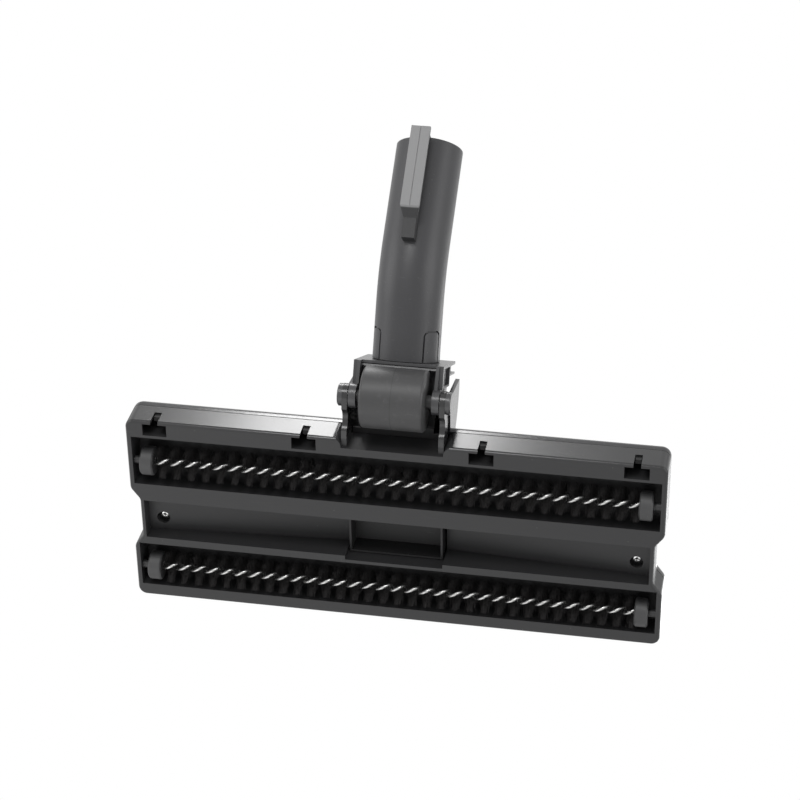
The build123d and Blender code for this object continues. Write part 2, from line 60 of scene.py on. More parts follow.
# Places on the CAD mouldings: the back wall, the line between base and cover, and the face of the rail.
BACK_WALL = 0.065
PARTING_LEVEL = 0.0218
RAIL_POINT = Vector((0.00046, 0.192765, 0.088904))
RAIL_NORMAL = Vector((0.04086, 0.72857, -0.68375))

# Bands that are dull and dark: axis, level, half width and strength.
# Painted shade in the seam between base and cover, with some dirt.
SEAM_SHADE_AND_DIRT = ("Z", PARTING_LEVEL, 0.0007, 1.0)
ROLLER_SEAM = ("X", 0.0, 0.0002, 0.3)
# Painted shade in the cover's slots, over the snap hooks that sit in them.
SNAP_HOOK_SHADE = ("Z", 0.009, 0.0125, 0.9)

# How deep a finish reaches below the face that it belongs to.
FACE_SKIN = 0.0006
TREAD_DEPTH = 0.004
GRAIN_DEPTH = 0.00006

# Painted shade in the cross of a screw's head: how deep it starts, how softly, and its tone.
CROSS_DEPTH = 0.0003
CROSS_BLEND = 0.0002
CROSS_SHADE_TONE = (0.02, 0.02, 0.02, 1.0)

# What rubbing and dull bands add to the roughness, and what polish takes from it.
RUBBED_ROUGHER = 0.25
DULL_ROUGHER = 0.6
POLISHED_SMOOTHER = 0.28

# Meshes: joining and shading of the CAD, and the make of the filaments and the strands.
JOIN_DISTANCE = 1e-6
SMOOTH_ANGLE = math.radians(32)
BRISTLE_SEED = 11
FILAMENT_RINGS = 3
FILAMENT_CORNERS = 3
FILAMENT_START = 0.04
FILAMENT_TAPER = 0.5
FAN_LIMIT = 2.2
# A filament's tone varies by chance, and by length as painted shade at its root and painted light at its
# tip.
SHADE_BY_CHANCE = 0.6
PAINTED_SHADE_BY_LENGTH = 0.4
STRAND_CORNERS = 10
STRAND_STEPS_PER_TURN = 24

# Stage: the floor, where it turns white, and the points that the lamps face.
FLOOR_HALF = 3.0
FADE_START = 0.25
FADE_END = 0.8
NECK = (0.0, 0.06, 0.03)
TUBE = (0.0, 0.13, 0.06)
RAIL = (0.0, 0.19, 0.10)

# Lamps: name, place, aim, width, height, and the setting that holds the power.
LAMPS = (
    ("back_light", (0.225, 0.69, 0.98), NECK, 0.24, 0.36, "back_power"),
    ("lower_light", (0.50, -0.40, -1.10), NECK, 0.9, 0.9, "under_power"),
    ("neck_light", (0.16, 1.06, -0.37), RAIL, 0.3, 0.3, "neck_power"),
    ("front_light", (-0.7, -1.0, 0.9), NECK, 1.0, 1.0, "front_power"),
    ("right_light", (-1.2, 0.55, -0.15), TUBE, 0.8, 0.8, "side_power"),
    ("left_light", (1.2, 0.55, -0.15), TUBE, 0.8, 0.8, "side_power"),
)

# Camera of the photo, in the part's frame.
CAMERA_PLACE = (-0.2133, 0.7726, -1.0782)
CAMERA_RIGHT = Vector((-0.98340, -0.01281, 0.18103))
CAMERA_UP = Vector((0.08424, 0.85132, 0.51784))
SENSOR_WIDTH = 36.0
CLIP_END = 50.0


def colour_property(name, description, default):
    """Setting that holds a colour."""
    return FloatVectorProperty(
        name=name, description=description, default=default, subtype="COLOR", size=3, min=0.0, max=1.0
    )


class BrushSettings(PropertyGroup):
    """Sizes of the bristles and of the twisted wire."""

    pitch: FloatProperty(
        name="Twist pitch", description="Length of one turn of the wire", default=0.0165, unit="LENGTH"
    )
    filaments: IntProperty(name="Filaments", description="Bristles in one of the two rows", default=6600)
    thickness: FloatProperty(
        name="Thickness", description="Radius of a bristle at its root", default=0.00011, unit="LENGTH"
    )
    spread: FloatProperty(
        name="Spread", description="Angle that a row fans out to each side", default=0.31, subtype="ANGLE"
    )
    root: FloatProperty(
        name="Root", description="Half the thickness of a row at the wire", default=0.0021, unit="LENGTH"
    )
    uneven: FloatProperty(
        name="Uneven", description="Share by which the bristles differ", default=0.07, subtype="FACTOR"
    )
    lean: FloatProperty(
        name="Lean", description="How far the tips stray along the brush", default=0.0007, unit="LENGTH"
    )
    strand: FloatProperty(
        name="Strand", description="Radius of each strand of the wire", default=0.00115, unit="LENGTH"
    )


class FinishSettings(PropertyGroup):
    """Colours of the mouldings and metals."""

    base: colour_property("Base", "Satin black of the sole and the ribs", (0.022, 0.022, 0.023))
    cover: colour_property("Cover", "Glossy black of the top cover", (0.016, 0.016, 0.018))
    # Darker than the base: painted shade inside the suction mouth.
    duct: colour_property("Duct", "Black of the duct inside the mouth", (0.009, 0.009, 0.0095))
    yoke: colour_property("Yoke", "Satin black of the neck's fork and caps", (0.062, 0.062, 0.065))
    tube: colour_property("Tube", "Dark grey of the elbow tube", (0.038, 0.038, 0.041))
    hook: colour_property("Hook", "Grey of the parking rail's web", (0.016, 0.016, 0.017))
    # Painted highlight: the pale colour of the rail's face, which its rub streaks take too.
    rail: colour_property("Rail", "Paler face of the parking rail", (0.30, 0.30, 0.303))
    roller: colour_property("Roller", "Grey of the rear roller", (0.050, 0.050, 0.051))
    wheel: colour_property("Wheel", "Grey of the brush wheels", (0.055, 0.055, 0.056))
    bristle: colour_property("Bristle", "Black of the filaments", (0.018, 0.017, 0.017))
    zinc: colour_property("Zinc", "Bright zinc of the cover screws", (0.92, 0.92, 0.91))
    steel: colour_property("Steel", "Bright steel of wires and axle", (0.62, 0.62, 0.61))
    rubbed: colour_property("Rubbed", "Paler tone of rubbed plastic", (0.16, 0.16, 0.16))
    dust: colour_property("Dust", "Tone of single dust specks", (0.30, 0.29, 0.27))


class StageSettings(PropertyGroup):
    """Floor, light and camera."""

    floor: colour_property("Floor", "Pale floor under the nozzle", (0.86, 0.86, 0.86))
    back_power: FloatProperty(
        name="Back light", description="Soft light behind the neck", default=3.4, subtype="POWER"
    )
    under_power: FloatProperty(
        name="Lower light", description="Soft light from the front, below", default=2.2, subtype="POWER"
    )
    neck_power: FloatProperty(
        name="Neck light", description="Small light that the rail mirrors", default=3.0, subtype="POWER"
    )
    front_power: FloatProperty(
        name="Front light", description="Soft light from the front, above", default=9.0, subtype="POWER"
    )
    side_power: FloatProperty(
        name="Side lights", description="Soft light on each side of the neck", default=4.0, subtype="POWER"
    )
    fill: FloatProperty(name="Fill", description="Even light from all round", default=0.46)
    lens: FloatProperty(name="Lens", description="Focal length in millimetres", default=109.0)


def plug(tree, socket, value):
    """Link a socket to another one, or set it to a constant."""
    if isinstance(value, bpy.types.NodeSocket):
        tree.links.new(value, socket)
    else:
        socket.default_value = value


def add_node(tree, kind, inputs=None, **settings):
    """Add a node, set its options, and link or set its inputs by name or number."""
    made = tree.nodes.new(kind)
    for name, value in settings.items():
        setattr(made, name, value)
    for name, value in (inputs or {}).items():
        plug(tree, made.inputs[name], value)
    return made


def maths(tree, operation, a, b, clamp=False):
    """Result of a sum on two values."""
    made = add_node(tree, "ShaderNodeMath", {0: a, 1: b}, operation=operation, use_clamp=clamp)
    return made.outputs[0]


def vector_maths(tree, operation, inputs):
    """Outputs of a sum on one or two vectors."""
    return add_node(tree, "ShaderNodeVectorMath", dict(enumerate(inputs)), operation=operation).outputs


def noise(tree, coords, scale, detail=2.0):
    """Value of a noise texture."""
    inputs = {"Vector": coords, "Scale": scale, "Detail": detail}
    return add_node(tree, "ShaderNodeTexNoise", inputs).outputs["Fac"]


def brighten(tree, colour, value):
    """Colour times a value."""
    return add_node(tree, "ShaderNodeHueSaturation", {"Color": colour, "Value": value}).outputs["Color"]


def mix_colours(tree, share, a, b):
    """Colour between two others."""
    made = add_node(tree, "ShaderNodeMix", data_type="RGBA")
    sockets = {s.identifier: s for s in made.inputs}
    for key, value in (("Factor_Float", share), ("A_Color", a), ("B_Color", b)):
        plug(tree, sockets[key], value)
    return next(s for s in made.outputs if s.identifier == "Result_Color")


def remap(tree, value, low, high, start=0.0, end=1.0):
    """Stretch a value from one range to another, and hold it at the ends."""
    ranges = {"Value": value, "From Min": low, "From Max": high, "To Min": start, "To Max": end}
    return add_node(tree, "ShaderNodeMapRange", ranges).outputs["Result"]


def new_group(name, inputs, outputs):
    """Empty shader group with named sockets, and its input and output nodes."""
    tree = bpy.data.node_groups.new(name, "ShaderNodeTree")
    for socket, kind, default in inputs:
        made = tree.interface.new_socket(socket, in_out="INPUT", socket_type=kind)
        if default is not None:
            made.default_value = default
    for socket, kind in outputs:
        tree.interface.new_socket(socket, in_out="OUTPUT", socket_type=kind)
    return tree, tree.nodes.new("NodeGroupInput").outputs, tree.nodes.new("NodeGroupOutput").inputs


def moulded_skin_group():
    """Fine grain of moulded plastic, with a slow drift of tone and of gloss."""
    tree, given, out = new_group(
        "moulded_skin",
        [
            ("Vector", "NodeSocketVector", None),
            ("Colour", "NodeSocketColor", (0.05, 0.05, 0.05, 1.0)),
            ("Roughness", "NodeSocketFloat", 0.4),
            ("Grain", "NodeSocketFloat", 1400.0),
            ("Drift", "NodeSocketFloat", 0.15),
        ],
        [("Colour", "NodeSocketColor"), ("Roughness", "NodeSocketFloat"), ("Height", "NodeSocketFloat")],
    )
    fine = noise(tree, given["Vector"], given["Grain"], detail=3.0)
    slow = noise(tree, given["Vector"], scale=38.0, detail=4.0)
    drift = maths(tree, "MULTIPLY", maths(tree, "SUBTRACT", slow, 0.5), given["Drift"])
    value = maths(tree, "ADD", maths(tree, "MULTIPLY", drift, 3.0), 1.0)
    speckle = maths(tree, "MULTIPLY", maths(tree, "SUBTRACT", fine, 0.5), 0.18)
    gloss = maths(tree, "ADD", maths(tree, "ADD", given["Roughness"], drift), speckle, clamp=True)
    plug(tree, out["Colour"], brighten(tree, given["Colour"], value))
    plug(tree, out["Roughness"], gloss)
    plug(tree, out["Height"], fine)
    return tree


def rub_marks_group():
    """Thin streaks of rubbing: two stretched noises, cut to lines and kept in patches."""
    tree, given, out = new_group(
        "rub_marks",
        [
            ("Vector", "NodeSocketVector", None),
            ("Scale", "NodeSocketFloat", 60.0),
            ("Amount", "NodeSocketFloat", 0.3),
        ],
        [("Mask", "NodeSocketFloat")],
    )
    lines = []
    for turn, stretch in ((0.35, (1.0, 16.0, 16.0)), (-1.1, (1.4, 20.0, 20.0))):
        turned = {"Vector": given["Vector"], "Rotation": (0.0, 0.2, turn), "Scale": stretch}
        laid = add_node(tree, "ShaderNodeMapping", turned).outputs["Vector"]
        lines.append(remap(tree, noise(tree, laid, given["Scale"]), 0.66, 0.72))
    kept = remap(tree, noise(tree, given["Vector"], scale=45.0), 0.45, 0.65)
    both = maths(tree, "MAXIMUM", *lines)
    mask = maths(tree, "MULTIPLY", maths(tree, "MULTIPLY", both, kept), given["Amount"], clamp=True)
    plug(tree, out["Mask"], mask)
    return tree


def dust_specks_group():
    """Sparse pale specks: round cells of a scattered pattern, most of them left out."""
    tree, given, out = new_group(
        "dust_specks",
        [("Vector", "NodeSocketVector", None), ("Amount", "NodeSocketFloat", 0.3)],
        [("Mask", "NodeSocketFloat")],
    )
    cells = add_node(tree, "ShaderNodeTexVoronoi", {"Vector": given["Vector"], "Scale": 300.0})
    parts = add_node(tree, "ShaderNodeSeparateColor", {"Color": cells.outputs["Color"]})
    picked = remap(tree, parts.outputs["Red"], 0.86, 0.90)
    dot = remap(tree, cells.outputs["Distance"], 0.05, 0.10, 1.0, 0.0)
    mask = maths(tree, "MULTIPLY", maths(tree, "MULTIPLY", dot, picked), given["Amount"], clamp=True)
    plug(tree, out["Mask"], mask)
    return tree


def drawn_steel_group():
    """Fine lines along X of drawn steel, with a slow drift of tone."""
    tree, given, out = new_group(
        "drawn_steel",
        [
            ("Vector", "NodeSocketVector", None),
            ("Colour", "NodeSocketColor", (0.7, 0.7, 0.7, 1.0)),
            ("Roughness", "NodeSocketFloat", 0.25),
        ],
        [("Colour", "NodeSocketColor"), ("Roughness", "NodeSocketFloat"), ("Height", "NodeSocketFloat")],
    )
    laid = add_node(tree, "ShaderNodeMapping", {"Vector": given["Vector"], "Scale": (0.12, 1.0, 1.0)})
    lines = noise(tree, laid.outputs["Vector"], scale=2600.0)
    gloss = maths(tree, "ADD", given["Roughness"], remap(tree, lines, 0.2, 0.8, -0.06, 0.10), clamp=True)
    plug(tree, out["Colour"], brighten(tree, given["Colour"], remap(tree, lines, 0.2, 0.8, 0.82, 1.08)))
    plug(tree, out["Roughness"], gloss)
    plug(tree, out["Height"], lines)
    return tree


GROUP_MAKERS = {
    "moulded_skin": moulded_skin_group,
    "rub_marks": rub_marks_group,
    "dust_specks": dust_specks_group,
    "drawn_steel": drawn_steel_group,
}


def use_group(tree, name, inputs):
    """Place a shared effect in a material, made on its first use."""
    shared = bpy.data.node_groups.get(name) or GROUP_MAKERS[name]()
    return add_node(tree, "ShaderNodeGroup", inputs, node_tree=shared).outputs


def new_material(name):
    """Material with an empty tree, and its Object coordinates."""
    made = bpy.data.materials.new(name)
    made.use_nodes = True
    tree = made.node_tree
    tree.nodes.clear()
    return made, tree, tree.nodes.new("ShaderNodeTexCoord").outputs["Object"]


def close_material(tree, inputs, height, strength, depth):
    """Principled surface with a bump from the given height."""
    bump = add_node(tree, "ShaderNodeBump", {"Height": height, "Strength": strength, "Distance": depth})
    surface = add_node(tree, "ShaderNodeBsdfPrincipled", {**inputs, "Normal": bump.outputs["Normal"]})
    add_node(tree, "ShaderNodeOutputMaterial", {"Surface": surface.outputs["BSDF"]})


def rgba(colour):
    """Colour of a setting, as a socket takes it."""
    return (*colour, 1.0)


def moulded_plastic(
    name,
    colour,
    finish,
    roughness,
    rub,
    grain=1400.0,
    drift=0.12,
    bump=0.10,
    dust=0.25,
    zone=None,
    polish=None,
    paler=None,
    seam_and_shade_band=None,
):
    """Moulded plastic with grain, rubbed streaks and single dust specks.

    zone adds a mask of its own wear, polish a mask of faces that are smoother than the rest, and paler the
    colour of what is rubbed; on the rail's face the zone and that colour are a painted highlight as well as
    wear.
    seam_and_shade_band gives the axis, level, half width and strength of a rough band darkened towards
    black:
    painted shade in the shell seam, with some dirt, and in the cover's slots, and the roller's own mould
    seam.
    """
    made, tree, coords = new_material(name)
    skin = use_group(
        tree,
        "moulded_skin",
        {"Vector": coords, "Colour": rgba(colour), "Roughness": roughness, "Grain": grain, "Drift": drift},
    )
    rub_and_highlight_mask = use_group(tree, "rub_marks", {"Vector": coords, "Amount": rub})["Mask"]
    if zone:
        rub_and_highlight_mask = maths(tree, "MAXIMUM", rub_and_highlight_mask, zone(tree, coords), clamp=True)
    specks = use_group(tree, "dust_specks", {"Vector": coords, "Amount": dust})["Mask"]
    # Rubbed marks and the zone take the paler colour: wear, and on the rail's face a painted highlight.
    worn_and_highlight = mix_colours(tree, rub_and_highlight_mask, skin["Colour"], rgba(paler or finish.rubbed))
    tone = mix_colours(tree, specks, worn_and_highlight, rgba(finish.dust))
    rougher = maths(tree, "MULTIPLY", rub_and_highlight_mask, RUBBED_ROUGHER)
    gloss = maths(tree, "ADD", skin["Roughness"], rougher, clamp=True)
    if polish:
        smoother = maths(tree, "MULTIPLY", polish(tree, coords), POLISHED_SMOOTHER)
        gloss = maths(tree, "SUBTRACT", gloss, smoother, clamp=True)
    if seam_and_shade_band:
        band = level_band(tree, coords, *seam_and_shade_band)
        gloss = maths(tree, "ADD", gloss, maths(tree, "MULTIPLY", band, DULL_ROUGHER), clamp=True)
        # The band darkens the colour towards black: painted shade in the shell seam, with some dirt, and in
        # the cover's slots; on the roller it is its own mould seam.
        tone = mix_colours(tree, band, tone, BLACK)
    close_material(tree, {"Base Color": tone, "Roughness": gloss}, skin["Height"], bump, GRAIN_DEPTH)
    return made


def level_band(tree, coords, axis, level, half, strength):
    """Mask round a level on an axis: full in the inner half of the band, then falling to nothing."""
    place = add_node(tree, "ShaderNodeSeparateXYZ", {"Vector": coords}).outputs[axis]
    apart = maths(tree, "SUBTRACT", place, level)
    away = add_node(tree, "ShaderNodeMath", {0: apart}, operation="ABSOLUTE").outputs[0]
    return remap(tree, away, half / 2, half, strength, 0.0)


def steel(name, colour, roughness, recess=None):
    """Bright drawn steel.

    Above the level of recess it is painted dark, as shade in the cross of a screw that faces down.
    """
    made, tree, coords = new_material(name)
    skin = use_group(tree, "drawn_steel", {"Vector": coords, "Colour": rgba(colour), "Roughness": roughness})
    tone = skin["Colour"]
    if recess:
        z = add_node(tree, "ShaderNodeSeparateXYZ", {"Vector": coords}).outputs["Z"]
        deep = remap(tree, z, recess, recess + CROSS_BLEND)
        # Painted shade: the cross of the screw is darkened towards a dark tone.
        tone = mix_colours(tree, deep, tone, CROSS_SHADE_TONE)
    inputs = {"Base Color": tone, "Roughness": skin["Roughness"], "Metallic": 1.0}
    close_material(tree, inputs, skin["Height"], strength=0.08, depth=0.00003)
    return made


def filament_material(name, colour):
    """Black filament, a little different from one bristle to the next, with painted shade that darkens it
    towards the root and painted light that makes it paler towards the tip.
    """
    made, tree, coords = new_material(name)
    shade = add_node(tree, "ShaderNodeAttribute", attribute_name="shade").outputs["Fac"]
    # The shade attribute brightens the filament: by chance for its own tone, and by length as painted shade
    # at the root and painted light at the tip.
    tone = brighten(tree, rgba(colour), remap(tree, shade, 0.0, 1.0, 0.4, 2.2))
    gloss = remap(tree, shade, 0.0, 1.0, 0.65, 0.5)
    inputs = {"Base Color": tone, "Roughness": gloss, "Specular IOR Level": 0.15}
    close_material(tree, inputs, noise(tree, coords, scale=3000.0), strength=0.1, depth=0.00002)
    return made


def outer_walls(low, high, skin):
    """Mask of what lies within a thin skin of the back wall and of both end walls."""

    def polish(tree, coords):
        parts = add_node(tree, "ShaderNodeSeparateXYZ", {"Vector": coords}).outputs
        back = remap(tree, parts["Y"], high.y - 2 * skin, high.y - skin)
        left = remap(tree, parts["X"], high.x - 2 * skin, high.x - skin)
        right = remap(tree, parts["X"], low.x + 2 * skin, low.x + skin)
        return maths(tree, "MAXIMUM", back, maths(tree, "MAXIMUM", left, right))

    return polish


def near_face(point, normal, reach):
    """Mask of what lies within a reach behind a plane: for a face that slides on something; on the rail it
    carries a painted highlight as well as rubbing.
    """

    def zone(tree, coords):
        apart = vector_maths(tree, "SUBTRACT", (coords, point))["Vector"]
        behind = vector_maths(tree, "DOT_PRODUCT", (apart, normal))["Value"]
        return remap(tree, behind, -2 * reach, -reach)

    return zone


def round_axle(centre, radius, reach):
    """Wear mask of what lies close to a radius about an axle along X: for treads."""

    def zone(tree, coords):
        apart = vector_maths(tree, "SUBTRACT", (coords, centre))["Vector"]
        square = vector_maths(tree, "MULTIPLY", (apart, (0.0, 1.0, 1.0)))["Vector"]
        far = vector_maths(tree, "LENGTH", (square,))["Value"]
        near = remap(tree, far, radius - reach, radius)
        patchy = remap(tree, noise(tree, coords, scale=260.0, detail=6.0), 0.55, 0.80, 0.0, 0.25)
        return maths(tree, "MULTIPLY", near, patchy)

    return zone


def smooth_faces_group():
    """Geometry group that joins loose triangles and shades all but the sharp edges smooth."""
    name = "smooth_faces"
    tree = bpy.data.node_groups.get(name)
    if tree:
        return tree
    tree = bpy.data.node_groups.new(name, "GeometryNodeTree")
    tree.is_modifier = True
    tree.interface.new_socket("Geometry", in_out="INPUT", socket_type="NodeSocketGeometry")
    tree.interface.new_socket("Geometry", in_out="OUTPUT", socket_type="NodeSocketGeometry")
    given = tree.nodes.new("NodeGroupInput").outputs[0]
    bare = add_node(tree, "GeometryNodeRemoveAttribute", {"Geometry": given, "Name": "custom_normal"})
    loose = {"Geometry": bare.outputs[0], "Distance": JOIN_DISTANCE}
    joined = add_node(tree, "GeometryNodeMergeByDistance", loose)
    smooth = add_node(tree, "GeometryNodeSetShadeSmooth", {"Geometry": joined.outputs[0]}, domain="FACE")
    angle = tree.nodes.new("GeometryNodeInputMeshEdgeAngle").outputs["Unsigned Angle"]
    sharp = add_node(tree, "FunctionNodeCompare", {"A": angle, "B": SMOOTH_ANGLE}, operation="GREATER_THAN")
    edges = {"Geometry": smooth.outputs[0], "Selection": sharp.outputs[0], "Shade Smooth": False}
    crisp = add_node(tree, "GeometryNodeSetShadeSmooth", edges, domain="EDGE")
    add_node(tree, "NodeGroupOutput", {0: crisp.outputs[0]})
    return tree


def dress(node, material, edge=0.0):
    """Give a CAD node its material, break its sharp edges by a small bevel, and shade it smooth.

    Large faces count most in the normals, so that a flat face stays flat up to its broken edge.
    """
    shape = NODES[node]
    shape.data.materials.clear()
    shape.data.materials.append(material)
    if edge:
        weld = shape.modifiers.new("join", "WELD")
        weld.merge_threshold = JOIN_DISTANCE
        bevel = shape.modifiers.new("broken edges", "BEVEL")
        bevel.width = edge
        bevel.segments = 2
        bevel.limit_method = "ANGLE"
        bevel.angle_limit = SMOOTH_ANGLE
        bevel.use_clamp_overlap = True
    smooth = shape.modifiers.new("smooth faces", "NODES")
    smooth.node_group = smooth_faces_group()
    flat = shape.modifiers.new("flat faces", "WEIGHTED_NORMAL")
    flat.keep_sharp = True


def mesh_piece(name, points, quads, tris, material):
    """One smooth mesh from arrays: points (n, 3), and the point numbers of quads (q, 4) and tris (t, 3)."""
    mesh = bpy.data.meshes.new(name)
    corners = np.concatenate([quads.ravel(), tris.ravel()])
    starts = np.concatenate([4 * np.arange(len(quads)), 4 * len(quads) + 3 * np.arange(len(tris))])
    mesh.vertices.add(len(points))
    mesh.vertices.foreach_set("co", points.astype(np.float32).ravel())
    mesh.loops.add(len(corners))
    mesh.loops.foreach_set("vertex_index", corners.astype(np.int32))
    mesh.polygons.add(len(starts))
    mesh.polygons.foreach_set("loop_start", starts.astype(np.int32))
    mesh.polygons.foreach_set("use_smooth", np.ones(len(starts), dtype=bool))
    mesh.update(calc_edges=True)
    mesh.materials.append(material)
    piece = bpy.data.objects.new(name, mesh)
    bpy.context.scene.collection.objects.link(piece)
    return piece


def tube_quads(rings, corners):
    """Point numbers of the quads round a tube whose rings follow each other, faces outwards."""
    ring = np.arange(rings - 1)[:, None] * corners
    corner = np.arange(corners)[None, :]
    following = (corner + 1) % corners
    upper = ring + corners
    quads = np.stack([ring + corner, ring + following, upper + following, upper + corner], -1)
    return quads.reshape(-1, 4)


def brush_frame(brush):
    """Middle, half length and reach of the bristles of one brush, from its CAD solid."""
    low, high = (np.array(v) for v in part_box(brush + "_bristles"))
    return (low + high) / 2, (high[0] - low[0]) / 2, (high[2] - low[2]) / 2


def bristles(brush, sizes, material):
    """Two rows of thin tapered bristles, turned left-handed along X as the wire is.

    A bristle at x points square to X at the angle row * pi - 2 pi x / pitch, plus a random part of the
    spread. Its centre line leaves the axis by t * length, for t from near 0 to 1. It bends along X by
    lean * t * t, and it starts beside the middle of the row by a random part of the root, which fades with
    1 - t. A triangle is carried along it whose size falls from the full thickness to half of it at the tip.
    """
    middle, half, reach = brush_frame(brush)
    chance = np.random.default_rng(BRISTLE_SEED + BRUSHES.index(brush))
    count = 2 * sizes.filaments
    x = np.linspace(-half, half, count)
    fan = sizes.spread * np.clip(chance.normal(size=count), -FAN_LIMIT, FAN_LIMIT)
    turn = np.pi * (np.arange(count) % 2) - 2 * np.pi * x / sizes.pitch + fan
    length = reach * (1 - sizes.uneven * chance.random(count))
    lean = sizes.lean * chance.normal(size=count)
    beside = sizes.root * chance.uniform(-1.0, 1.0, count)
    along = np.array([1.0, 0.0, 0.0])
    out = np.stack([np.zeros(count), np.cos(turn), np.sin(turn)], -1)
    across = np.cross(out, along)

    t = np.linspace(FILAMENT_START, 1.0, FILAMENT_RINGS)
    core = middle + x[:, None] * along
    bend = (lean[:, None] * t * t)[..., None] * along
    offset = (beside[:, None] * (1 - t))[..., None] * across[:, None]
    line = core[:, None] + (length[:, None] * t)[..., None] * out[:, None]
    line += bend + offset
    around = 2 * np.pi * np.arange(FILAMENT_CORNERS) / FILAMENT_CORNERS
    ring = np.cos(around)[:, None] * along + np.sin(around)[:, None] * across[:, None]
    size = sizes.thickness * (1 - FILAMENT_TAPER * t)
    points = line[:, :, None] + size[None, :, None, None] * ring[:, None]

    each = FILAMENT_RINGS * FILAMENT_CORNERS
    first = each * np.arange(count)[:, None]
    quads = (first[..., None] + tube_quads(FILAMENT_RINGS, FILAMENT_CORNERS)).reshape(-1, 4)
    tips = first + (FILAMENT_RINGS - 1) * FILAMENT_CORNERS + np.arange(FILAMENT_CORNERS)
    piece = mesh_piece(brush + "_filaments", points.reshape(-1, 3), quads, tips, material)
    # Painted shade at the root and painted light at the tip, on top of a tone that differs by chance.
    shade = SHADE_BY_CHANCE * chance.random(count)[:, None, None] + PAINTED_SHADE_BY_LENGTH * t[None, :, None]
    shade = np.broadcast_to(shade, (count, FILAMENT_RINGS, FILAMENT_CORNERS))
    mark = piece.data.attributes.new("shade", "FLOAT", "POINT")
    mark.data.foreach_set("value", np.ascontiguousarray(shade, dtype=np.float32).ravel())
    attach(piece, brush)
    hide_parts(brush + "_bristles")


def strands(brush, sizes, material):
    """Two round strands wound left-handed about each other.

    The centre of a strand is (x, a cos w, a sin w) with w = phase - 2 pi x / pitch and a the strand's
    radius. A circle of the same radius is carried along it, square to the helix. Both ends close in a point.
    """
    middle = brush_frame(brush)[0]
    low, high = (np.array(v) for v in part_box(brush + "_wire"))
    half = (high[0] - low[0]) / 2
    steps = int(round(2 * half / sizes.pitch * STRAND_STEPS_PER_TURN))
    x = np.linspace(-half, half, steps + 1)
    around = 2 * np.pi * np.arange(STRAND_CORNERS) / STRAND_CORNERS
    slope = 2 * np.pi * sizes.strand / sizes.pitch
    all_points, all_quads, all_tris = [], [], []
    for strand in range(2):
        wind = np.pi / 2 + np.pi * strand - 2 * np.pi * x / sizes.pitch
        out = np.stack([np.zeros_like(x), np.cos(wind), np.sin(wind)], -1)
        along = np.stack([np.ones_like(x), slope * np.sin(wind), -slope * np.cos(wind)], -1)
        along /= np.linalg.norm(along, axis=1)[:, None]
        side = np.cross(along, out)
        line = middle + sizes.strand * out + x[:, None] * np.array([1.0, 0.0, 0.0])
        ring = np.cos(around)[:, None] * out[:, None] + np.sin(around)[:, None] * side[:, None]
        points = (line[:, None] + sizes.strand * ring).reshape(-1, 3)
        first = sum(len(p) for p in all_points)
        corner = np.arange(STRAND_CORNERS)
        following = (corner + 1) % STRAND_CORNERS
        last = steps * STRAND_CORNERS
        start_point, end_point = len(points), len(points) + 1
        near = np.stack([np.full_like(corner, start_point), following, corner], -1)
        far = np.stack([np.full_like(corner, end_point), last + corner, last + following], -1)
        all_points.append(np.concatenate([points, line[:1], line[-1:]]))
        all_quads.append(first + tube_quads(steps + 1, STRAND_CORNERS))
        all_tris.append(first + np.concatenate([near, far]))
    points, quads, tris = (np.concatenate(part) for part in (all_points, all_quads, all_tris))
    piece = mesh_piece(brush + "_strands", points, quads, tris, material)
    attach(piece, brush)
    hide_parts(brush + "_wire")


def nozzle_box():
    """Corners of the nozzle's outline: the cover's ends, and the back wall without the ears."""
    low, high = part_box("top_cover")
    return low, Vector((high.x, BACK_WALL, high.z))


class NOZZLE_OT_shells(Operator):
    """Finish the moulded base, the glossy cover and the duct"""

    bl_idname = "nozzle.shells"
    bl_label = "Base, cover and duct"

    def execute(self, context):
        finish = context.scene.nozzle_finish
        base = moulded_plastic(
            "base_satin",
            finish.base,
            finish,
            roughness=0.50,
            rub=0.06,
            drift=0.06,
            bump=0.05,
            polish=outer_walls(*nozzle_box(), FACE_SKIN),
            seam_and_shade_band=SEAM_SHADE_AND_DIRT,
        )
        dress("base_plate", base, edge=0.00035)
        # The duct's darker colour is painted shade inside the mouth.
        duct = moulded_plastic("duct_satin", finish.duct, finish, roughness=0.55, rub=0.1)
        dress("suction_duct", duct, edge=0.0002)
        cover = moulded_plastic(
            "cover_gloss",
            finish.cover,
            finish,
            roughness=0.16,
            rub=0.25,
            grain=900.0,
            drift=0.06,
            bump=0.04,
            seam_and_shade_band=SNAP_HOOK_SHADE,
        )
        dress("top_cover", cover, edge=0.0004)
        return {"FINISHED"}


class NOZZLE_OT_neck(Operator):
    """Finish the yoke, the axle with its caps, and the rear roller"""

    bl_idname = "nozzle.neck"
    bl_label = "Neck and roller"

    def execute(self, context):
        finish = context.scene.nozzle_finish
        yoke = moulded_plastic("yoke_satin", finish.yoke, finish, roughness=0.30, rub=0.2)
        dress("neck_yoke", yoke, edge=0.00025)
        cap = moulded_plastic("cap_satin", finish.yoke, finish, roughness=0.30, rub=0.2)
        dress("axle_cap_left", cap)
        dress("axle_cap_right", cap)
        dress("pivot_axle", steel("axle_steel", finish.steel, roughness=0.3))
        low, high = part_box("roller")
        roller = moulded_plastic(
            "roller_matte",
            finish.roller,
            finish,
            roughness=0.46,
            rub=0.4,
            drift=0.16,
            bump=0.15,
            zone=round_axle((low + high) / 2, (high.z - low.z) / 2, TREAD_DEPTH),
            seam_and_shade_band=ROLLER_SEAM,
        )
        dress("roller", roller)
        return {"FINISHED"}


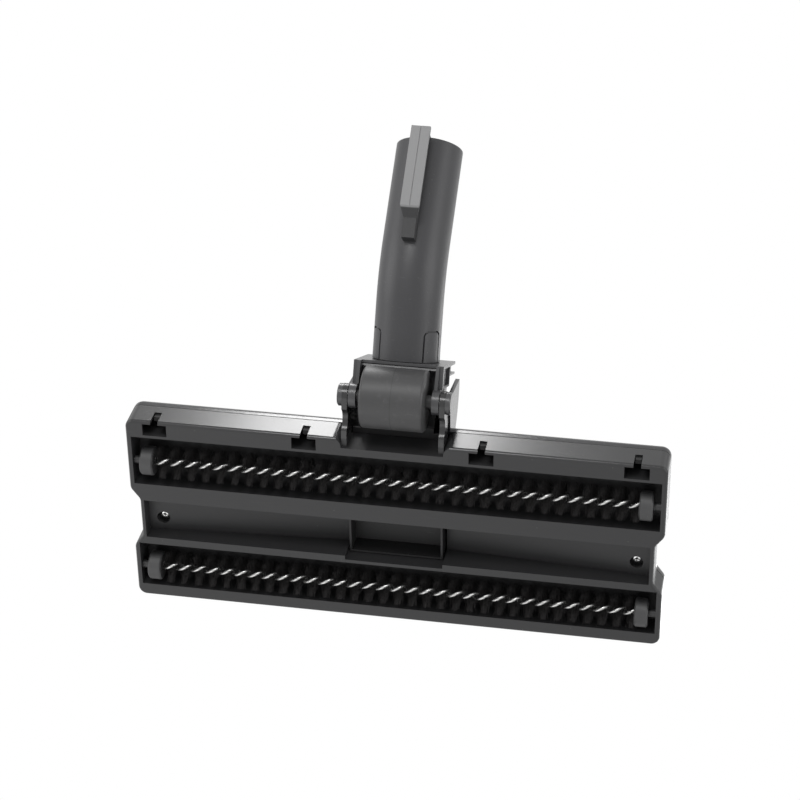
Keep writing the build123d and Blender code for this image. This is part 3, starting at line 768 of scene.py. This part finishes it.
class NOZZLE_OT_elbow(Operator):
    """Finish the elbow tube and the parking rail"""

    bl_idname = "nozzle.elbow"
    bl_label = "Elbow and rail"

    def execute(self, context):
        finish = context.scene.nozzle_finish
        tube = moulded_plastic("tube_satin", finish.tube, finish, roughness=0.40, rub=0.2, bump=0.06)
        dress("elbow_tube", tube, edge=0.0003)
        # The rail's face takes its paler colour as a painted highlight, with some rubbing.
        rail = moulded_plastic(
            "rail_satin",
            finish.hook,
            finish,
            roughness=0.48,
            rub=0.1,
            drift=0.2,
            zone=near_face(RAIL_POINT, RAIL_NORMAL, FACE_SKIN),
            paler=finish.rail,
        )
        dress("parking_hook", rail, edge=0.0003)
        return {"FINISHED"}


class NOZZLE_OT_brush_rolls(Operator):
    """Make the bristles and the twisted wire of both brushes, and finish their wheels"""

    bl_idname = "nozzle.brush_rolls"
    bl_label = "Brush rolls"

    def execute(self, context):
        finish = context.scene.nozzle_finish
        sizes = context.scene.nozzle_brush
        filament = filament_material("bristle_black", finish.bristle)
        wire = steel("wire_bright", finish.steel, roughness=0.32)
        wheel = moulded_plastic("wheel_matte", finish.wheel, finish, roughness=0.48, rub=0.4, drift=0.2)
        for brush in BRUSHES:
            bristles(brush, sizes, filament)
            strands(brush, sizes, wire)
            dress(brush + "_wheel_left", wheel)
            dress(brush + "_wheel_right", wheel)
        return {"FINISHED"}


class NOZZLE_OT_screws(Operator):
    """Finish the two cover screws"""

    bl_idname = "nozzle.screws"
    bl_label = "Cover screws"

    def execute(self, context):
        finish = context.scene.nozzle_finish
        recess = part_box("cover_screws")[0].z + CROSS_DEPTH
        zinc = steel("screw_zinc", finish.zinc, roughness=0.22, recess=recess)
        dress("cover_screws", zinc, edge=0.0001)
        return {"FINISHED"}


def soft_lamp(name, place, aim, width, height, power):
    """Rectangular soft light that faces a point."""
    data = bpy.data.lights.new(name, "AREA")
    data.shape = "RECTANGLE"
    data.size = width
    data.size_y = height
    data.energy = power
    lamp = bpy.data.objects.new(name, data)
    lamp.location = place
    lamp.rotation_mode = "QUATERNION"
    lamp.rotation_quaternion = (Vector(aim) - Vector(place)).to_track_quat("-Z", "Y")
    bpy.context.scene.collection.objects.link(lamp)


def pale_world(fill):
    """World that is white where it is seen or mirrored, and lights the rest evenly."""
    world = bpy.data.worlds.new("pale_surround")
    bpy.context.scene.world = world
    world.use_nodes = True
    tree = world.node_tree
    tree.nodes.clear()
    path = tree.nodes.new("ShaderNodeLightPath").outputs
    seen = maths(tree, "MAXIMUM", path["Is Camera Ray"], path["Is Glossy Ray"])
    seen = maths(tree, "MAXIMUM", seen, path["Is Transmission Ray"])
    even = add_node(tree, "ShaderNodeBackground", {"Color": WHITE, "Strength": fill})
    white = add_node(tree, "ShaderNodeBackground", {"Color": WHITE, "Strength": 1.0})
    both = add_node(tree, "ShaderNodeMixShader", {0: seen, 1: even.outputs[0], 2: white.outputs[0]})
    add_node(tree, "ShaderNodeOutputWorld", {"Surface": both.outputs[0]})


def floor_plane(colour):
    """Pale floor under the roller and the bristles.

    It turns white away from the nozzle. Seen from below it lets the view through.
    """
    points = FLOOR_HALF * np.array([[-1.0, -1.0, 0.0], [1.0, -1.0, 0.0], [1.0, 1.0, 0.0], [-1.0, 1.0, 0.0]])
    made, tree, coords = new_material("floor_pale")
    back = tree.nodes.new("ShaderNodeNewGeometry").outputs["Backfacing"]
    tone = brighten(tree, rgba(colour), remap(tree, noise(tree, coords, scale=6.0), 0.2, 0.8, 0.99, 1.01))
    face = add_node(tree, "ShaderNodeBsdfDiffuse", {"Color": tone})
    white = add_node(tree, "ShaderNodeEmission", {"Color": WHITE, "Strength": 1.0})
    away = vector_maths(tree, "LENGTH", (coords,))["Value"]
    fade = {"Value": away, "From Min": FADE_START, "From Max": FADE_END}
    far = add_node(tree, "ShaderNodeMapRange", fade, interpolation_type="SMOOTHSTEP").outputs["Result"]
    fading = add_node(tree, "ShaderNodeMixShader", {0: far, 1: face.outputs[0], 2: white.outputs[0]})
    clear = tree.nodes.new("ShaderNodeBsdfTransparent")
    both = add_node(tree, "ShaderNodeMixShader", {0: back, 1: fading.outputs[0], 2: clear.outputs[0]})
    add_node(tree, "ShaderNodeOutputMaterial", {"Surface": both.outputs[0]})
    floor = mesh_piece("floor", points, np.array([[0, 1, 2, 3]]), np.zeros((0, 3), int), made)
    floor.visible_diffuse = False
    floor.visible_glossy = False
    floor.visible_transmission = False
    floor.visible_shadow = False


class NOZZLE_OT_stage(Operator):
    """Set the pale floor, the soft lights, the surround and the camera below the nozzle"""

    bl_idname = "nozzle.stage"
    bl_label = "Stage"

    def execute(self, context):
        stage = context.scene.nozzle_stage
        context.scene.view_settings.view_transform = "Standard"
        floor_plane(stage.floor)
        pale_world(stage.fill)
        for *lamp, power in LAMPS:
            soft_lamp(*lamp, getattr(stage, power))
        data = bpy.data.cameras.new("photo_camera")
        data.sensor_width = SENSOR_WIDTH
        data.lens = stage.lens
        data.clip_end = CLIP_END
        camera = bpy.data.objects.new("photo_camera", data)
        right, up = CAMERA_RIGHT.normalized(), CAMERA_UP.normalized()
        turn = Matrix((right, up, right.cross(up))).transposed()
        camera.matrix_world = Matrix.Translation(CAMERA_PLACE) @ turn.to_4x4()
        context.scene.collection.objects.link(camera)
        context.scene.camera = camera
        return {"FINISHED"}


class NOZZLE_PT_steps(Panel):
    """Steps and sizes of the nozzle"""

    bl_label = "Hard-floor nozzle"
    bl_space_type = "VIEW_3D"
    bl_region_type = "UI"
    bl_category = "Nozzle"

    def draw(self, context):
        for step in STEPS:
            self.layout.operator(step.bl_idname)
        for group in (context.scene.nozzle_brush, context.scene.nozzle_finish, context.scene.nozzle_stage):
            box = self.layout.box()
            for name in group.__annotations__:
                box.prop(group, name)


SETTINGS = {"nozzle_brush": BrushSettings, "nozzle_finish": FinishSettings, "nozzle_stage": StageSettings}
STEPS = (
    NOZZLE_OT_shells,
    NOZZLE_OT_neck,
    NOZZLE_OT_elbow,
    NOZZLE_OT_brush_rolls,
    NOZZLE_OT_screws,
    NOZZLE_OT_stage,
)


def register():
    for kind in (*SETTINGS.values(), *STEPS, NOZZLE_PT_steps):
        bpy.utils.register_class(kind)
    for name, kind in SETTINGS.items():
        setattr(bpy.types.Scene, name, PointerProperty(type=kind))


def unregister():
    for name in SETTINGS:
        delattr(bpy.types.Scene, name)
    for kind in reversed((*SETTINGS.values(), *STEPS, NOZZLE_PT_steps)):
        bpy.utils.unregister_class(kind)


def main():
    register()
    bpy.ops.nozzle.shells()
    bpy.ops.nozzle.neck()
    bpy.ops.nozzle.elbow()
    bpy.ops.nozzle.brush_rolls()
    bpy.ops.nozzle.screws()
    bpy.ops.nozzle.stage()


if __name__ == "__main__":
    main()
